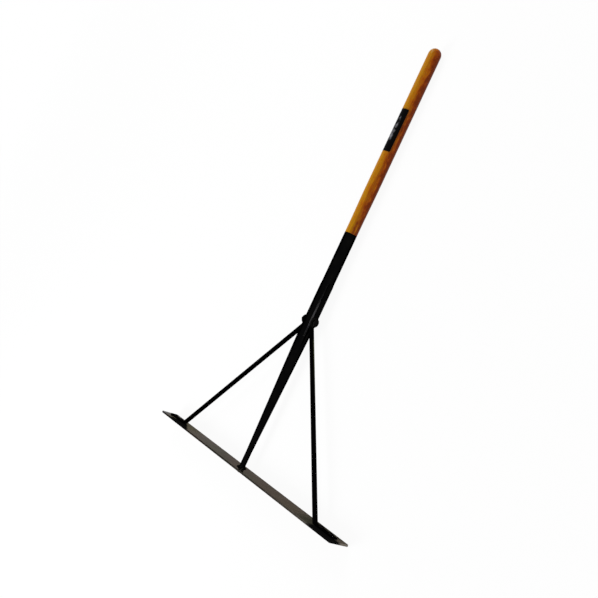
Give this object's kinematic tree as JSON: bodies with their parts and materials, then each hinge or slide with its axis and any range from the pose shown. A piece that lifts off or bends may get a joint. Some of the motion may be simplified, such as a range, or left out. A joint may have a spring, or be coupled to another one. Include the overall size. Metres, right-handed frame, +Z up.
{
  "type": "braced steel smoothing rake",
  "caption": "Steel rake with a long flat blade, flat braces, a tapered black socket and a round varnished wood handle.",
  "frame": {"origin": "middle of the blade's working edge, on the face that rests on the ground when the rake is put down", "axes": "+X along the blade, +Y from the blade up the handle, +Z up from the ground that the rake lies on"},
  "size_m": [0.9144, 1.1975, 0.0531],
  "materials": {
    "varnished_wood": "straight-grained ash under a glossy amber varnish",
    "black_enamel": "gloss black enamel, worn at the edges",
    "mill_steel": "bare hot-rolled bar, dark and mottled, semi-gloss",
    "bolt_steel": "black-oxide fasteners, dull"
  },
  "bodies": {
    "root": {"wood_handle": "varnished_wood", "socket": "black_enamel", "socket_collar": "black_enamel", "blade": "mill_steel", "brace_left": "black_enamel", "brace_right": "black_enamel", "brace_bolt": "bolt_steel", "brace_bolt_washer": "bolt_steel", "brace_nut_washer": "bolt_steel", "brace_nut": "bolt_steel", "foot_bolt_left_inner": "bolt_steel", "foot_bolt_left_outer": "bolt_steel", "foot_bolt_right_inner": "bolt_steel", "foot_bolt_right_outer": "bolt_steel", "foot_nut_left_inner": "bolt_steel", "foot_nut_left_outer": "bolt_steel", "foot_nut_right_inner": "bolt_steel", "foot_nut_right_outer": "bolt_steel", "centre_bolt": "bolt_steel", "centre_washer": "bolt_steel"}
  },
  "joints": []
}
